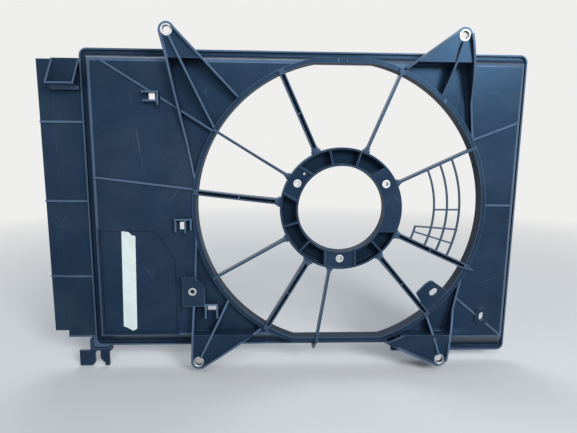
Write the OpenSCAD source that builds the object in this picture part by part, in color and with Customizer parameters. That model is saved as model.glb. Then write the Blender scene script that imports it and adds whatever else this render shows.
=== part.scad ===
// Cowl of a radiator fan: one black moulding with a round fan opening, a motor ring held by ten
// struts, four bolting ears, and the brackets and clips that such a cowl carries on its engine side.
//
// X runs to the right and Z up, as the cowl stands in the car. Y runs from the engine side (in front)
// to the radiator side (behind). The origin is the centre of the motor opening on its front face.
// Plan points are [x, z]; depths are values of Y.

/* [Fan opening] */
// Radius of the fan opening
opening_r = 175; // [165:1:180]
// Height of the flat at the top of the opening above the centre
opening_top = 171.6; // [165:0.2:176]
// Depth of the flat at the bottom of the opening below the centre
opening_bottom = 166; // [160:0.5:170]
// Width of the raised lip round the opening
lip_w = 5.5; // [4:0.5:7]
// Front face of the lip
lip_front = 5; // [4:0.5:7]
// Rear edge of the ring wall
ring_back = 22; // [18:0.5:26]

/* [Motor ring] */
// Radius of the motor opening
motor_bore_r = 52.5; // [50:0.5:54]
// Outer radius of the motor ring
motor_ring_r = 74.5; // [73:0.5:80]
// Depth of the motor ring
motor_ring_depth = 15; // [12:0.5:18]
// Wall of the motor ring and of its cells
motor_wall = 2.2; // [1.6:0.1:3]
// Floor of the cells
motor_floor = 2.4; // [1.6:0.1:4]
// Circle of the motor screws
screw_pcd = 124; // [120:0.5:128]
// Width of the pads that carry the screw inserts
pad_w = 37; // [28:0.5:40]
// How far the sunk pads lie behind the front face
pad_sunk = 3; // [1:0.25:5]
// Thickness of the pads
pad_t = 9; // [6:0.5:10]
// Outer diameter of a screw insert
insert_d = 10; // [9:0.2:11]
// Thread bore of a screw insert
insert_bore_d = 5; // [4:0.1:6]
// Diameter of the locating holes beside the upper inserts
locating_d = 3; // [2:0.25:4]
// Angle between an upper insert and its locating hole
locating_step = 13.3; // [12:0.1:15]

/* [Struts] */
// Front edge of the struts
strut_front = 2; // [1:0.5:3]
// Depth of the struts
strut_depth = 10; // [8:0.5:12]
// Width of a channel strut
channel_w = 6.6; // [5:0.2:8]
// Wall of a channel strut
channel_wall = 1.6; // [1.2:0.1:2]
// Width of a blade strut
blade_w = 3; // [2.4:0.1:4]
// Length of the flared root of a strut on the motor ring
root_l = 6; // [4:0.5:8]

/* [Panel] */
// Front face of the raised panel
panel_front = 8; // [7:0.5:9]
// Thickness of the skin
skin = 2.5; // [2:0.1:3]
// Rear face of the rim, which lies on the radiator
rim_back = 36; // [33:0.5:40]
// Thickness of the rim flange
flange_t = 3; // [2.5:0.1:3.5]
// Width of the rim flange
flange_w = 6; // [5:0.25:7]
// Width of the bead along the rim
bead_w = 2; // [1.5:0.1:2.5]
// Height of the bead along the rim
bead_h = 3; // [2:0.25:4]
// Left edge of the raised panel
face_left = -297; // [-299:0.5:-294]
// Right edge of the raised panel
face_right = 216; // [213:0.5:218]
// Top edge of the raised panel
face_top = 174; // [172:0.5:176]
// Bottom edge of the raised panel, left of the step
face_bottom = -162; // [-164:0.5:-160]
// Bottom edge of the raised panel, right of the step
face_bottom_right = -168; // [-170:0.5:-166]
// Left edge of the rim
rim_left = -313.5; // [-316:0.5:-312]
// Right edge of the rim
rim_right = 231.5; // [230:0.5:236]
// Top edge of the rim
rim_top = 188.5; // [187:0.5:192]
// Bottom edge of the rim, left of the step
rim_bottom = -185; // [-188:0.5:-184]
// Bottom edge of the rim, right of the step
rim_bottom_right = -197; // [-200:0.5:-195]
// Where the bottom edge steps down
step_x = 78; // [74:0.5:84]
// Radius of the long bends
bend_r = 5; // [3:0.5:7]
// Radius of the rim's corners
corner_r = 9; // [7:0.5:12]
// Height of the low ribs on the panel
rib_h = 2; // [1.5:0.25:3]
// Width of the low ribs on the panel
rib_w = 2.4; // [2:0.1:3]
// Depth of the sunk field on the left panel
field_sunk = 2.5; // [1.5:0.25:3.5]
// Front face of the pocket floors in the ears
pocket_floor = 14; // [12:0.5:16]

/* [Ears] */
// Distance between the upper bolts
top_bolts = 338.5; // [336:0.5:341]
// Height of the upper bolts above the centre
top_bolt_z = 202.5; // [201:0.5:206]
// Middle of the upper bolts, from the centre
top_bolt_mid = -33.25; // [-35:0.25:-31]
// Distance between the lower bolts
bottom_bolts = 305; // [302:0.5:308]
// Depth of the lower bolts below the centre
bottom_bolt_z = 192; // [191:0.5:196]
// Middle of the lower bolts, from the centre
bottom_bolt_mid = -22.5; // [-24:0.25:-21]
// Radius of the ear's round end
ear_tip_r = 9.2; // [8.8:0.1:10.5]
// Outer diameter of the compression sleeves
sleeve_d = 13.6; // [12.8:0.1:14.4]
// Bore of the compression sleeves
sleeve_bore_d = 9; // [8.6:0.1:10]
// How far a sleeve stands proud of its ear, at each end
sleeve_proud = 0.6; // [0.4:0.1:1]
// Front face of the ear plates
ear_front = -6; // [-8:0.5:-5]
// Thickness of the ear plates
ear_t = 2.6; // [2:0.1:3.5]
// Thickness of the ears' round ends
ear_end_t = 5; // [4:0.5:8]
// Wall of the ears
ear_wall = 2.4; // [2:0.1:3]
// How far the ear walls stand before the ear plates
ear_wall_h = 5; // [3:0.5:7]
// Height of the line where the plates of the upper ears end
plate_line_top = 174; // [172:0.5:176]
// Height of the line where the plate of the lower left ear ends
plate_line_left = -158; // [-160:0.5:-156]
// Height of the line where the plate of the lower right ear ends
plate_line_right = -161; // [-163:0.5:-159]

/* [Guard and tab] */
// Radius of the inner long guard hoop
hoop_inner = 115.6; // [114:0.2:118]
// Radius of the middle long guard hoop
hoop_middle = 131.8; // [129:0.2:134]
// Radius of the outer long guard hoop
hoop_outer = 147.2; // [145:0.2:150]
// Radius of the short guard hoop
short_hoop = 95.6; // [92:0.2:98]
// Width of a guard bar
guard_w = 1.8; // [1.4:0.1:2.6]
// Depth of a guard bar
guard_depth = 3.5; // [2.5:0.25:5]
// Thickness of the slotted tab
tab_t = 3; // [2.5:0.1:4]
// Slot of the tab, across
tab_slot_w = 8; // [6:0.25:9]
// Slot of the tab, end to end
tab_slot_l = 11.5; // [10:0.25:13]

/* [Side baffle] */
// Outer edge of the baffle
baffle_left = -366; // [-370:0.5:-362]
// Step between its inner and outer leaf
baffle_step = -348.5; // [-351:0.5:-346]
// How far the outer leaf lies behind the inner one
baffle_drop = 1.5; // [1:0.1:2]
// Thickness of the leaves
baffle_t = 3; // [2.5:0.1:3.5]
// Top of the baffle
baffle_top = 177; // [174:0.5:180]
// Bottom of the inner leaf
baffle_bottom = -174; // [-177:0.5:-170]
// Height of the upper cross rib
baffle_rib_top = 102; // [98:0.5:106]
// Height of the middle cross rib
baffle_rib_middle = 5; // [1:0.5:9]
// Height of the lower cross rib
baffle_rib_low = -92; // [-96:0.5:-88]

/* [Brackets and clips] */
// Height of the holding pocket above the baffle
holder_h = 22; // [16:0.5:24]
// Outer size of a harness clip
clip_size = 18; // [16:0.5:20]
// Height of a harness clip above the panel
clip_h = 8; // [6:0.5:10]
// Wall of a harness clip
clip_wall = 2.2; // [1.6:0.1:3]
// Width of the relay bracket
relay_w = 26.5; // [25:0.5:30]
// Height of the relay bracket
relay_h = 38; // [34:0.5:40]
// Front face of the relay bracket
relay_front = -4; // [-6:0.5:-3]
// Width of the hook under the left corner
hook_w = 27; // [24:0.5:30]
// Thickness of the hook's feet
hook_t = 3; // [2:0.1:4]
// Width of the paper tape
tape_w = 16.6; // [15:0.2:19]
// Length of the paper tape
tape_l = 128; // [120:0.5:132]
// Thickness of the paper tape
tape_t = 0.3; // [0.2:0.05:0.5]

/* [Hidden] */
$fn = 96;
eps = 0.01;
far = 400;

plastic = "#2b3440";
steel = "#c9ced2";
paper = "#cfdbd6";

flange_front = rim_back - flange_t;
ring_r = opening_r + lip_w;
screw_r = screw_pcd / 2;
split_left = -92;
wall_set_in = 0.5;
guard_hoops = [hoop_inner, hoop_middle, hoop_outer];
baffle_ribs = [baffle_rib_top, baffle_rib_middle, baffle_rib_low];

// Struts as angle, whether it is a channel, and what its outer end runs out into
STRUTS = [
    [114.6, true, "lip"], [67.3, false, "boss"], [25, false, "lip"], [-24.5, true, "point"],
    [-49.8, true, "lip"], [-99, false, "foot"], [-120.9, true, "lip"], [-150.7, false, "lip"],
    [173.6, true, "lip"], [148.5, false, "lip"]
];
// Ribs between the open cells of the motor ring
CELL_RIBS = [102, 72, 197, 226, -45.6];
PAD_ANGLES = [150, -90];
FLAT_PAD_ANGLE = 30;
FLAT_PAD_BOTTOM = -28;

TIP_TL = [top_bolt_mid - top_bolts / 2, top_bolt_z];
TIP_TR = [top_bolt_mid + top_bolts / 2, top_bolt_z];
TIP_BL = [bottom_bolt_mid - bottom_bolts / 2, -bottom_bolt_z];
TIP_BR = [bottom_bolt_mid + bottom_bolts / 2, -bottom_bolt_z];

function polar(r, a) = [r * cos(a), r * sin(a)];
function unit(v) = v / norm(v);
function normal(p, q) = let (d = unit(q - p)) [-d[1], d[0]];
// Where a line from a tip towards a bend touches the tip's round end; side is 1 or -1
function touch(tip, r, aim, side) =
    let (d = norm(aim - tip), base = atan2(aim[1] - tip[1], aim[0] - tip[0]))
    tip + polar(r, base + side * acos(r / d));
function on_ring(a, extra = 0) = polar(ring_r + extra, a);

// General shapes:

// A plan outline between two depths
module plan(y0, y1) {
    rotate([90, 0, 0]) translate([0, 0, -y1]) linear_extrude(y1 - y0) children();
}

// A straight bar of width w in plan from p to q
module strip(p, q, w, more = 0) {
    translate(p) rotate(atan2(q[1] - p[1], q[0] - p[0]))
        translate([-more, -w / 2]) square([norm(q - p) + 2 * more, w]);
}

// An upright wall from p to q whose front edge runs from depth f0 to f1 and rear edge from b0 to b1
module wall(p, q, w, f0, f1, b0, b1) {
    translate([p[0], 0, p[1]]) rotate([0, -atan2(q[1] - p[1], q[0] - p[0]), 0])
        translate([0, 0, -w / 2]) linear_extrude(w)
            polygon([[0, f0], [norm(q - p), f1], [norm(q - p), b1], [0, b0]]);
}

module disc(p, r) { translate(p) circle(r); }

module rounded(x0, x1, z0, z1, r) {
    translate([x0 + r, z0]) square([x1 - x0 - 2 * r, z1 - z0]);
    translate([x0, z0 + r]) square([x1 - x0, z1 - z0 - 2 * r]);
    for (x = [x0 + r, x1 - r], z = [z0 + r, z1 - r]) disc([x, z], r);
}

// What a bend of radius r takes off the corner c between the edges towards pa and pb
module corner_cut(c, pa, pb, r) {
    a = unit(pa - c);
    b = unit(pb - c);
    half = acos(a * b) / 2;
    m = unit(a + b);
    difference() {
        polygon([c + a * r / tan(half), c - m, c + b * r / tan(half)]);
        disc(c + m * r / sin(half), r);
    }
}

// The panel:

// Section across the panel: raised face, sloping side walls and rim flange
module pan_section(f0, f1, r0, r1) {
    toe0 = [r0 + flange_w, flange_front];
    toe1 = [r1 - flange_w, flange_front];
    top0 = [f0, panel_front];
    top1 = [f1, panel_front];
    difference() {
        polygon([[r0, rim_back], [r0, flange_front], toe0, top0, top1, toe1,
                 [r1, flange_front], [r1, rim_back]]);
        corner_cut(top0, toe0, top1, bend_r);
        corner_cut(top1, toe1, top0, bend_r);
    }
}

// The hollow behind that section
module pan_hollow(f0, f1, r0, r1) {
    rise = flange_front - panel_front;
    run0 = f0 - r0 - flange_w;
    run1 = r1 - flange_w - f1;
    t0 = skin * norm([run0, rise]) / rise;
    t1 = skin * norm([run1, rise]) / rise;
    polygon([
        [r0 + flange_w + t0, rim_back + 1], [r0 + flange_w + t0, flange_front],
        [f0 + t0 - run0 * skin / rise, panel_front + skin],
        [f1 - t1 + run1 * skin / rise, panel_front + skin],
        [r1 - flange_w - t1, flange_front], [r1 - flange_w - t1, rim_back + 1]
    ]);
}

module along_z() { translate([0, 0, -far]) linear_extrude(2 * far) children(); }
module along_x() { rotate([0, -90, 0]) translate([0, 0, -far]) linear_extrude(2 * far) children(); }

// Outer form of the panel as a solid, for one height of its bottom edge
module pan_form(face_b, rim_b) {
    intersection() {
        along_z() pan_section(face_left, face_right, rim_left, rim_right);
        along_x() pan_section(face_b, face_top, rim_b, rim_top);
        plan(panel_front - 1, rim_back) rounded(rim_left, rim_right, rim_b, rim_top, corner_r);
    }
}

module pan_shell(face_b, rim_b) {
    difference() {
        union() {
            pan_form(face_b, rim_b);
            plan(flange_front - bead_h, rim_back) difference() {
                rounded(rim_left, rim_right, rim_b, rim_top, corner_r);
                rounded(rim_left + bead_w, rim_right - bead_w, rim_b + bead_w, rim_top - bead_w,
                        corner_r - bead_w);
            }
        }
        intersection() {
            along_z() pan_hollow(face_left, face_right, rim_left, rim_right);
            along_x() pan_hollow(face_b, face_top, rim_b, rim_top);
        }
    }
}

// The whole outer form, with the step in its bottom edge
module cowl_form() {
    intersection() {
        pan_form(face_bottom, rim_bottom);
        translate([-far, -far, -far]) cube([far + step_x, 2 * far, 2 * far]);
    }
    intersection() {
        pan_form(face_bottom_right, rim_bottom_right);
        translate([step_x, -far, -far]) cube(2 * far);
    }
}

module ring_outline() {
    intersection() {
        circle(ring_r, $fn = 180);
        translate([-far, -opening_bottom - lip_w])
            square([2 * far, opening_bottom + opening_top + 2 * lip_w]);
    }
}

module opening_outline() {
    intersection() {
        circle(opening_r, $fn = 180);
        translate([-far, -opening_bottom]) square([2 * far, opening_bottom + opening_top]);
    }
}

// The ears:

// Each ear: its bolt point, outer wall bends and feet on the ring, rib foot, and the height of
// the line where its plate meets the raised panel
BEND_TL = [-203, plate_line_top];
FOOT_TL = on_ring(168.1);
FOOT_TL2 = on_ring(133.3);
RIB_TL = on_ring(147.7);
FOOT_TR = on_ring(66.5);
BEND_TR = [148.5, plate_line_top];
FOOT_TR2 = on_ring(29);
RIB_TR = on_ring(49);
FOOT_BL = on_ring(-167.8);
FOOT_BL2 = on_ring(-122.7);
RIB_BL = on_ring(-139.9);
FOOT_BR = on_ring(-70.4);
BEND_BR = [142.4, plate_line_right + 0.7];
FOOT_BR2 = on_ring(-30.8);
RIB_BR = on_ring(-50.5);

// One ear as [tip, left run, right run, rib foot, plate line, side the ear points to]
EARS = [
    [TIP_TL, [BEND_TL, FOOT_TL], [FOOT_TL2], RIB_TL, plate_line_top, 1],
    [TIP_TR, [FOOT_TR], [BEND_TR, FOOT_TR2], RIB_TR, plate_line_top, 1],
    [TIP_BL, [FOOT_BL], [FOOT_BL2], RIB_BL, plate_line_left, -1],
    [TIP_BR, [FOOT_BR], [BEND_BR, FOOT_BR2], RIB_BR, plate_line_right, -1]
];

function last(v) = v[len(v) - 1];
// Start of an outer wall: it leaves the round end a little inside its edge
function wall_start(e, run, side) =
    touch(e[0], ear_tip_r - ear_wall / 2 - wall_set_in, run[0], side * e[5]);
// A run carried a little way inside the ring, which then cuts it off
function carried(v) = concat([for (i = [0:len(v) - 2]) v[i]],
                             [last(v) + unit(last(v) - v[len(v) - 2]) * 6]);
function left_run(e) = carried(concat([wall_start(e, e[1], -1)], e[1]));
function right_run(e) = carried(concat([wall_start(e, e[2], 1)], e[2]));

// Where a run of points crosses the height z
function crossing(run, z) =
    let (hits = [for (i = [0:len(run) - 2])
        let (p = run[i], q = run[i + 1])
        if ((p[1] - z) * (q[1] - z) <= 0 && p[1] != q[1])
            p + (q - p) * (z - p[1]) / (q[1] - p[1])])
    // a wall that ends short of the line gives way to the ring at that height
    len(hits) > 0 ? hits[0] : [sign(last(run)[0]) * (sqrt(pow(ring_r, 2) - z * z) - 4), z];

// The points of a run that lie on the panel side of the plate line
function below(e, run) = [for (p = run) if ((p[1] - e[4]) * e[5] < -0.5) p];
function above(e, run) = [for (p = run) if ((p[1] - e[4]) * e[5] > 0.5) p];
function reversed(v) = [for (i = [len(v) - 1:-1:0]) v[i]];

// The pocket between the outer walls, the plate line and the ring
module pocket_outline(e) {
    l = left_run(e);
    r = right_run(e);
    difference() {
        polygon(concat([crossing(l, e[4])], below(e, l), reversed(below(e, r)),
                       [crossing(r, e[4])]));
        ring_outline();
    }
}

module pocket_inside(e) {
    difference() {
        pocket_outline(e);
        pocket_walls(e);
    }
}

module pocket_walls(e) {
    l = left_run(e);
    r = right_run(e);
    difference() {
        union() {
            for (run = [l, r]) {
                pts = concat([crossing(run, e[4])], below(e, run));
                for (i = [0:len(pts) - 2]) strip(pts[i], pts[i + 1], ear_wall, ear_wall / 2);
            }
            strip(crossing(l, e[4]), crossing(r, e[4]), ear_wall);
        }
        ring_outline();
    }
}

// Front edge of the ear walls at the share t of the way from the round end to the ring
function wall_front(t) = ear_front - ear_wall_h + (lip_front - ear_front + ear_wall_h) * t * t;

// All upright walls of an ear, in plan: the two outer walls and the rib between them
module ear_walls_outline(e) {
    for (run = [left_run(e), right_run(e)])
        for (i = [0:len(run) - 2]) strip(run[i], run[i + 1], ear_wall, i > 0 ? ear_wall / 3 : 0);
    strip(rib_start(e), rib_end(e), ear_wall);
}

// The walls as solids; their front edges fall in one curve towards the ring
module ear_walls(e) {
    long = norm(e[3] - e[0]);
    aim = e[3] - e[0];
    difference() {
        plan(ear_front - ear_wall_h, panel_front) ear_walls_outline(e);
        translate([e[0][0], 0, e[0][1]]) rotate([0, -atan2(aim[1], aim[0]), 0])
            translate([0, 0, -far]) linear_extrude(2 * far)
                polygon(concat([[-far, -far], [-far, wall_front(0) - 0.5]],
                    [for (t = [0:0.2:1.01]) [t * long, wall_front(t) - (t == 0 ? 0.5 : 0)]],
                    [[far, lip_front + 0.01], [far, -far]]));
    }
}

function rib_start(e) = e[0] + unit(e[3] - e[0]) * (ear_tip_r - 1);
function rib_end(e) = last(carried([rib_start(e), e[3]]));

// Front plate of an ear, from its round end down to the plate line
module ear_plate_outline(e) {
    l = left_run(e);
    r = right_run(e);
    polygon(concat([e[0]], above(e, l), [crossing(l, e[4]), crossing(r, e[4])],
                   reversed(above(e, r))));
}

// An ear; its children are what stands in its way
module ear(e) {
    l = left_run(e);
    r = right_run(e);
    color(plastic) difference() {
        union() {
            plan(ear_front, ear_front + ear_t) ear_plate_outline(e);
            plan(ear_front, ear_front + ear_end_t) disc(e[0], ear_tip_r);
            plan(ear_front, panel_front) strip(crossing(l, e[4]), crossing(r, e[4]), ear_wall);
            ear_walls(e);
            // the middle rib reaches down to the pocket floor
            plan(panel_front - 1, pocket_floor) intersection() {
                strip(rib_start(e), rib_end(e), ear_wall);
                pocket_inside(e);
            }
        }
        plan(-far, far) {
            ring_outline();
            disc(e[0], sleeve_d / 2);
        }
        children();
    }
}

sleeve_l = ear_end_t + 2 * sleeve_proud;

module sleeve(e) {
    color(steel) plan(ear_front - sleeve_proud, ear_front - sleeve_proud + sleeve_l)
        difference() {
            disc(e[0], sleeve_d / 2);
            disc(e[0], sleeve_bore_d / 2);
        }
}

// Panel regions:

tape_z = face_bottom + 5 + tape_l / 2;
field_top = tape_z + tape_l / 2 + 1;
FIELD = [[face_left + 4, field_top], [-ring_r - 44.5, field_top], [-ring_r - 22, field_top - 37],
         [-ring_r - 22, face_bottom + 3], [face_left + 4, face_bottom + 3]];
// Harness clips: centre, walls, hole as left, bottom, right and top, and depth of the base; walls
// and hole count in halves of the clip's size from its centre
CLIPS = [
    [[-222, 128], [[[-1.25, 0.88], [0.64, 0.88]], [[-1.1, -0.22], [0.64, -0.22]],
                   [[0.64, 0.88], [0.64, -0.7]]],
     [-0.66, -0.04, 0.16, 0.74], panel_front],
    [on_ring(-173.68, 10.2), [[[-1.16, 0.88], [0.88, 0.88]], [[-1.16, 0.88], [-1.16, -0.7]],
                              [[0.12, 0.88], [0.12, -0.8]], [[0.88, 0.88], [0.88, -0.45]]],
     [-0.74, -0.58, -0.02, 0.45], panel_front],
    [on_ring(-141, 22.84), [[[-0.88, 0.88], [0.7, 0.88]], [[-0.88, 0.88], [-0.88, -1]],
                            [[0.7, 0.88], [0.7, -1]]],
     [-0.76, -0.44, 0.5, 0.74], pocket_floor]
];
BOSS = [186.5, -139.5];
boss_w = 16;
boss_l = 23;
boss_slot_w = 7;
boss_slot_l = 11;

module slot_outline(p, w, l) {
    strip(p - [0, (l - w) / 2], p + [0, (l - w) / 2], w);
    disc(p + [0, (l - w) / 2], w / 2);
    disc(p - [0, (l - w) / 2], w / 2);
}

module clip_outline(c) {
    for (w = c[1])
        strip(c[0] + w[0] * clip_size / 2, c[0] + w[1] * clip_size / 2, clip_wall, clip_wall / 2);
}

module clip_hole(c) {
    h = c[2] * clip_size / 2;
    translate(c[0] + [h[0], h[1]]) square([h[2] - h[0], h[3] - h[1]]);
}

// The field sunk into the left panel, with a little wall of its own behind
module field_outline(grow = 0) {
    polygon([FIELD[0] + [-grow, grow], FIELD[1] + [grow / 2, grow],
             FIELD[2] + [grow, grow / 2], FIELD[3] + [grow, -grow], FIELD[4] + [-grow, -grow]]);
}

// The rib that slants down from the upper left corner
module oblique_rib_outline() { strip([face_left + 13, face_top - 1], on_ring(149), rib_w); }

module panel_ribs() {
    plan(panel_front - rib_h, panel_front) {
        strip([face_left + 1, 37], on_ring(172.6), rib_w);
        oblique_rib_outline();
        strip(on_ring(28), [face_right - 4, 105], rib_w);
        strip(on_ring(1.5), [face_right - 4, 4.5], rib_w);
        strip(on_ring(-37), [face_right - 4, -165], rib_w);
    }
}

// All of the panel before it is parted into its four regions
module panel_body(face_b, rim_b) {
    difference() {
        union() {
            difference() {
                pan_shell(face_b, rim_b);
                for (e = EARS) plan(panel_front - 1, pocket_floor) pocket_outline(e);
            }
            for (e = EARS) {
                plan(pocket_floor, pocket_floor + skin) pocket_outline(e);
                plan(panel_front, pocket_floor + 0.5) pocket_walls(e);
            }
            // the slanting rib runs on across the upper left pocket
            plan(panel_front - rib_h, pocket_floor + 0.5) intersection() {
                oblique_rib_outline();
                pocket_inside(EARS[0]);
            }
            plan(panel_front, panel_front + field_sunk + skin) field_outline(skin);
            difference() {
                panel_ribs();
                for (e = EARS) plan(0, panel_front + 1) {
                    pocket_outline(e);
                    pocket_walls(e);
                }
                for (c = CLIPS) plan(0, panel_front) {
                    clip_outline(c);
                    translate(c[0]) square(0.9 * clip_size, center = true);
                }
            }
            plan(panel_front - 3, panel_front + skin) slot_outline(BOSS, boss_w, boss_l);
        }
        plan(panel_front - 1, panel_front + field_sunk) field_outline();
        plan(-far, far) {
            ring_outline();
            slot_outline(BOSS, boss_slot_w, boss_slot_l);
            for (c = CLIPS) clip_hole(c);
        }
    }
}

module region(x0, x1, z0, z1) {
    intersection() {
        children();
        translate([x0, -far, z0]) cube([x1 - x0, 2 * far, z1 - z0]);
    }
}

module cowl_panel_left() {
    color(plastic) region(-far, split_left, -far, far) panel_body(face_bottom, rim_bottom);
}
module cowl_panel_right() {
    color(plastic) region(step_x, far, -far, far) {
        panel_body(face_bottom_right, rim_bottom_right);
        // end wall where the bottom edge steps down
        intersection() {
            pan_form(face_bottom_right, rim_bottom_right);
            translate([step_x - 1, -far, -far]) cube([skin + 1, 2 * far, far + face_bottom - 3]);
        }
    }
}
module cowl_bar_top() {
    color(plastic) region(split_left, step_x, 0, far) panel_body(face_bottom, rim_bottom);
}
module cowl_bar_bottom() {
    color(plastic) region(split_left, step_x, -far, 0) panel_body(face_bottom, rim_bottom);
}

// Ring, motor ring and struts:

module opening_ring() {
    color(plastic) difference() {
        union() {
            plan(lip_front, ring_back) ring_outline();
            // short bar across the lip at the foot of the upper right ear's rib
            plan(lip_front - 1.2, lip_front + 1)
                strip(polar(opening_r + 0.7, 46.6), polar(ring_r - 0.7, 47.3), 2.8);
        }
        plan(-far, far) opening_outline();
        // shallow break in the lip at the top
        plan(lip_front - 1, lip_front + 1.5)
            translate([-7, opening_top - 1]) square([10, lip_w + 2]);
    }
}

module pad_outline(a) {
    intersection() {
        rotate(a) translate([0, -pad_w / 2]) square([far, pad_w]);
        circle(motor_ring_r);
    }
}

// The flat pad on the right runs from its upper insert down to a level wall
module flat_pad_outline() {
    intersection() {
        union() {
            rotate(FLAT_PAD_ANGLE) translate([0, -pad_w / 2]) square([far, pad_w]);
            translate([0, FLAT_PAD_BOTTOM]) square([far, -FLAT_PAD_BOTTOM + 20]);
        }
        circle(motor_ring_r);
    }
}

module motor_band(grow = 0) {
    difference() {
        circle(motor_ring_r - grow);
        circle(motor_bore_r + grow);
    }
}

module insert_holes(d) {
    for (a = [FLAT_PAD_ANGLE, PAD_ANGLES[0], PAD_ANGLES[1]]) disc(polar(screw_r, a), d / 2);
}

module motor_ring() {
    color(plastic) difference() {
        union() {
            // outer and inner hoop
            plan(0, motor_ring_depth) difference() {
                motor_band();
                motor_band(motor_wall);
            }
            // floor of the cells and the ribs between them
            plan(motor_ring_depth - motor_floor, motor_ring_depth) motor_band();
            plan(0, motor_ring_depth) intersection() {
                motor_band();
                union() for (a = CELL_RIBS) strip([0, 0], polar(far, a), motor_wall);
            }
            // sunk pads with their side walls
            for (a = PAD_ANGLES) {
                plan(pad_sunk, pad_sunk + pad_t) intersection() {
                    motor_band();
                    pad_outline(a);
                }
                plan(0, motor_ring_depth) intersection() {
                    motor_band();
                    rotate(a) for (s = [-1, 1])
                        translate([0, s * pad_w / 2 - motor_wall / 2]) square([far, motor_wall]);
                }
            }
            // the flat pad, flush with the front
            plan(0, pad_t) intersection() {
                motor_band();
                flat_pad_outline();
            }
            plan(0, motor_ring_depth) intersection() {
                motor_band();
                union() {
                    rotate(FLAT_PAD_ANGLE) translate([0, pad_w / 2 - motor_wall])
                        square([far, motor_wall]);
                    translate([0, FLAT_PAD_BOTTOM]) square([far, motor_wall]);
                }
            }
        }
        plan(-1, motor_ring_depth + 1) {
            insert_holes(insert_d);
            for (a = [FLAT_PAD_ANGLE + locating_step, PAD_ANGLES[0] - locating_step])
                disc(polar(screw_r, a), locating_d / 2);
        }
    }
}

module motor_insert(a, front) {
    color(steel) plan(front, front + pad_t) difference() {
        disc(polar(screw_r, a), insert_d / 2);
        disc(polar(screw_r, a), insert_bore_d / 2);
    }
}

// What some struts run out into: a boss on the lip, a point that lies on the panel, or a foot
// that runs down the sloping wall to the rim
module strut_end(n, w) {
    a = STRUTS[n][0];
    side = polar(w / 2, a + 90);
    if (STRUTS[n][2] == "boss")
        plan(strut_front, lip_front)
            strip(polar(opening_r - 1, a), polar(ring_r - 0.8, a), blade_w + 4);
    if (STRUTS[n][2] == "point") difference() {
        plan(strut_front, panel_front) polygon([polar(ring_r - 3, a) + side,
            polar(ring_r + 7.5, a), polar(ring_r - 3, a) - side]);
        plan(lip_front, far) ring_outline();
    }
    if (STRUTS[n][2] == "foot") difference() {
        rotate([0, -a, 0]) translate([0, 0, 0.2 - blade_w / 2]) linear_extrude(blade_w - 0.4)
            polygon([[opening_r - 7, strut_front + 0.3], [ring_r - 6, strut_front + 0.3],
                     [ring_r + 8, flange_front / 2], [ring_r + 8, flange_front - bead_h],
                     [opening_r - 7, flange_front - bead_h]]);
        plan(lip_front, far) ring_outline();
        cowl_form();
    }
}

// One strut, between the motor ring and the ring of the opening
module strut(n) {
    a = STRUTS[n][0];
    w = STRUTS[n][1] ? channel_w : blade_w;
    back = strut_front + strut_depth;
    color(plastic) difference() {
        union() {
            intersection() {
                plan(strut_front, back) strip([0, 0], polar(far, a), w);
                plan(lip_front, far) opening_outline();
            }
            intersection() {
                plan(strut_front, lip_front) strip([0, 0], polar(far, a), w);
                plan(-far, far) circle(opening_r + lip_w - 1.5, $fn = 180);
                plan(-far, far) translate([-far, -opening_bottom - lip_w + 1.5])
                    square([2 * far, opening_bottom + opening_top + 2 * lip_w - 3]);
            }
            strut_end(n, w);
            // flared root on the motor ring
            plan(strut_front + 1, back) intersection() {
                circle(motor_ring_r + root_l);
                polygon([[0, 0], polar(far, a - 6.5), polar(far, a + 6.5)]);
                union() {
                    strip([0, 0], polar(far, a), w + 2);
                    strip([0, 0], polar(motor_ring_r + root_l / 2, a), w + 5);
                }
            }
        }
        plan(-far, far) circle(motor_ring_r);
        if (STRUTS[n][1]) difference() {
            plan(strut_front - 1, back - channel_wall)
                strip(polar(motor_ring_r + root_l, a), polar(opening_r - channel_wall, a),
                      w - 2 * channel_wall);
            // small bridge half way along the channel
            plan(strut_front + 1.5, back) strip(polar((motor_ring_r + opening_r) / 2 - 1, a),
                polar((motor_ring_r + opening_r) / 2 + 1, a), w);
        }
    }
}

// Guard and tab:

module hoop(r, w) {
    difference() {
        circle(r + w / 2);
        circle(r - w / 2);
    }
}

module between_struts(i, j) {
    wi = (STRUTS[i][1] ? channel_w : blade_w) / 2;
    wj = (STRUTS[j][1] ? channel_w : blade_w) / 2;
    difference() {
        intersection() {
            children();
            polygon([[0, 0], polar(far, STRUTS[j][0]), polar(far, 0), polar(far, STRUTS[i][0])]);
        }
        strip([0, 0], polar(far, STRUTS[i][0]), 2 * wi);
        strip([0, 0], polar(far, STRUTS[j][0]), 2 * wj);
    }
}

module finger_guard() {
    short_start = -12.8;
    color(plastic) plan(strut_front + 1, strut_front + 1 + guard_depth) between_struts(2, 3) {
        for (r = guard_hoops) hoop(r, guard_w);
        intersection() {
            hoop(short_hoop, guard_w);
            polygon([[0, 0], polar(far, STRUTS[3][0] - 2), polar(far, short_start)]);
        }
        strip([guard_hoops[0], -0.5], [last(guard_hoops), -0.5], guard_w);
        strip(polar(short_hoop, short_start), polar(last(guard_hoops), -9.9), guard_w, guard_w / 2);
        strip(polar(short_hoop, -16.9), polar(last(guard_hoops), -17), guard_w);
    }
}

TAB = [polar(opening_r - 28.5, -47.43), polar(opening_r - 25.3, -37.48),
       polar(opening_r - 1.5, -37.03)];
TAB_HOLE = polar(opening_r - 14, -41.17);

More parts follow.
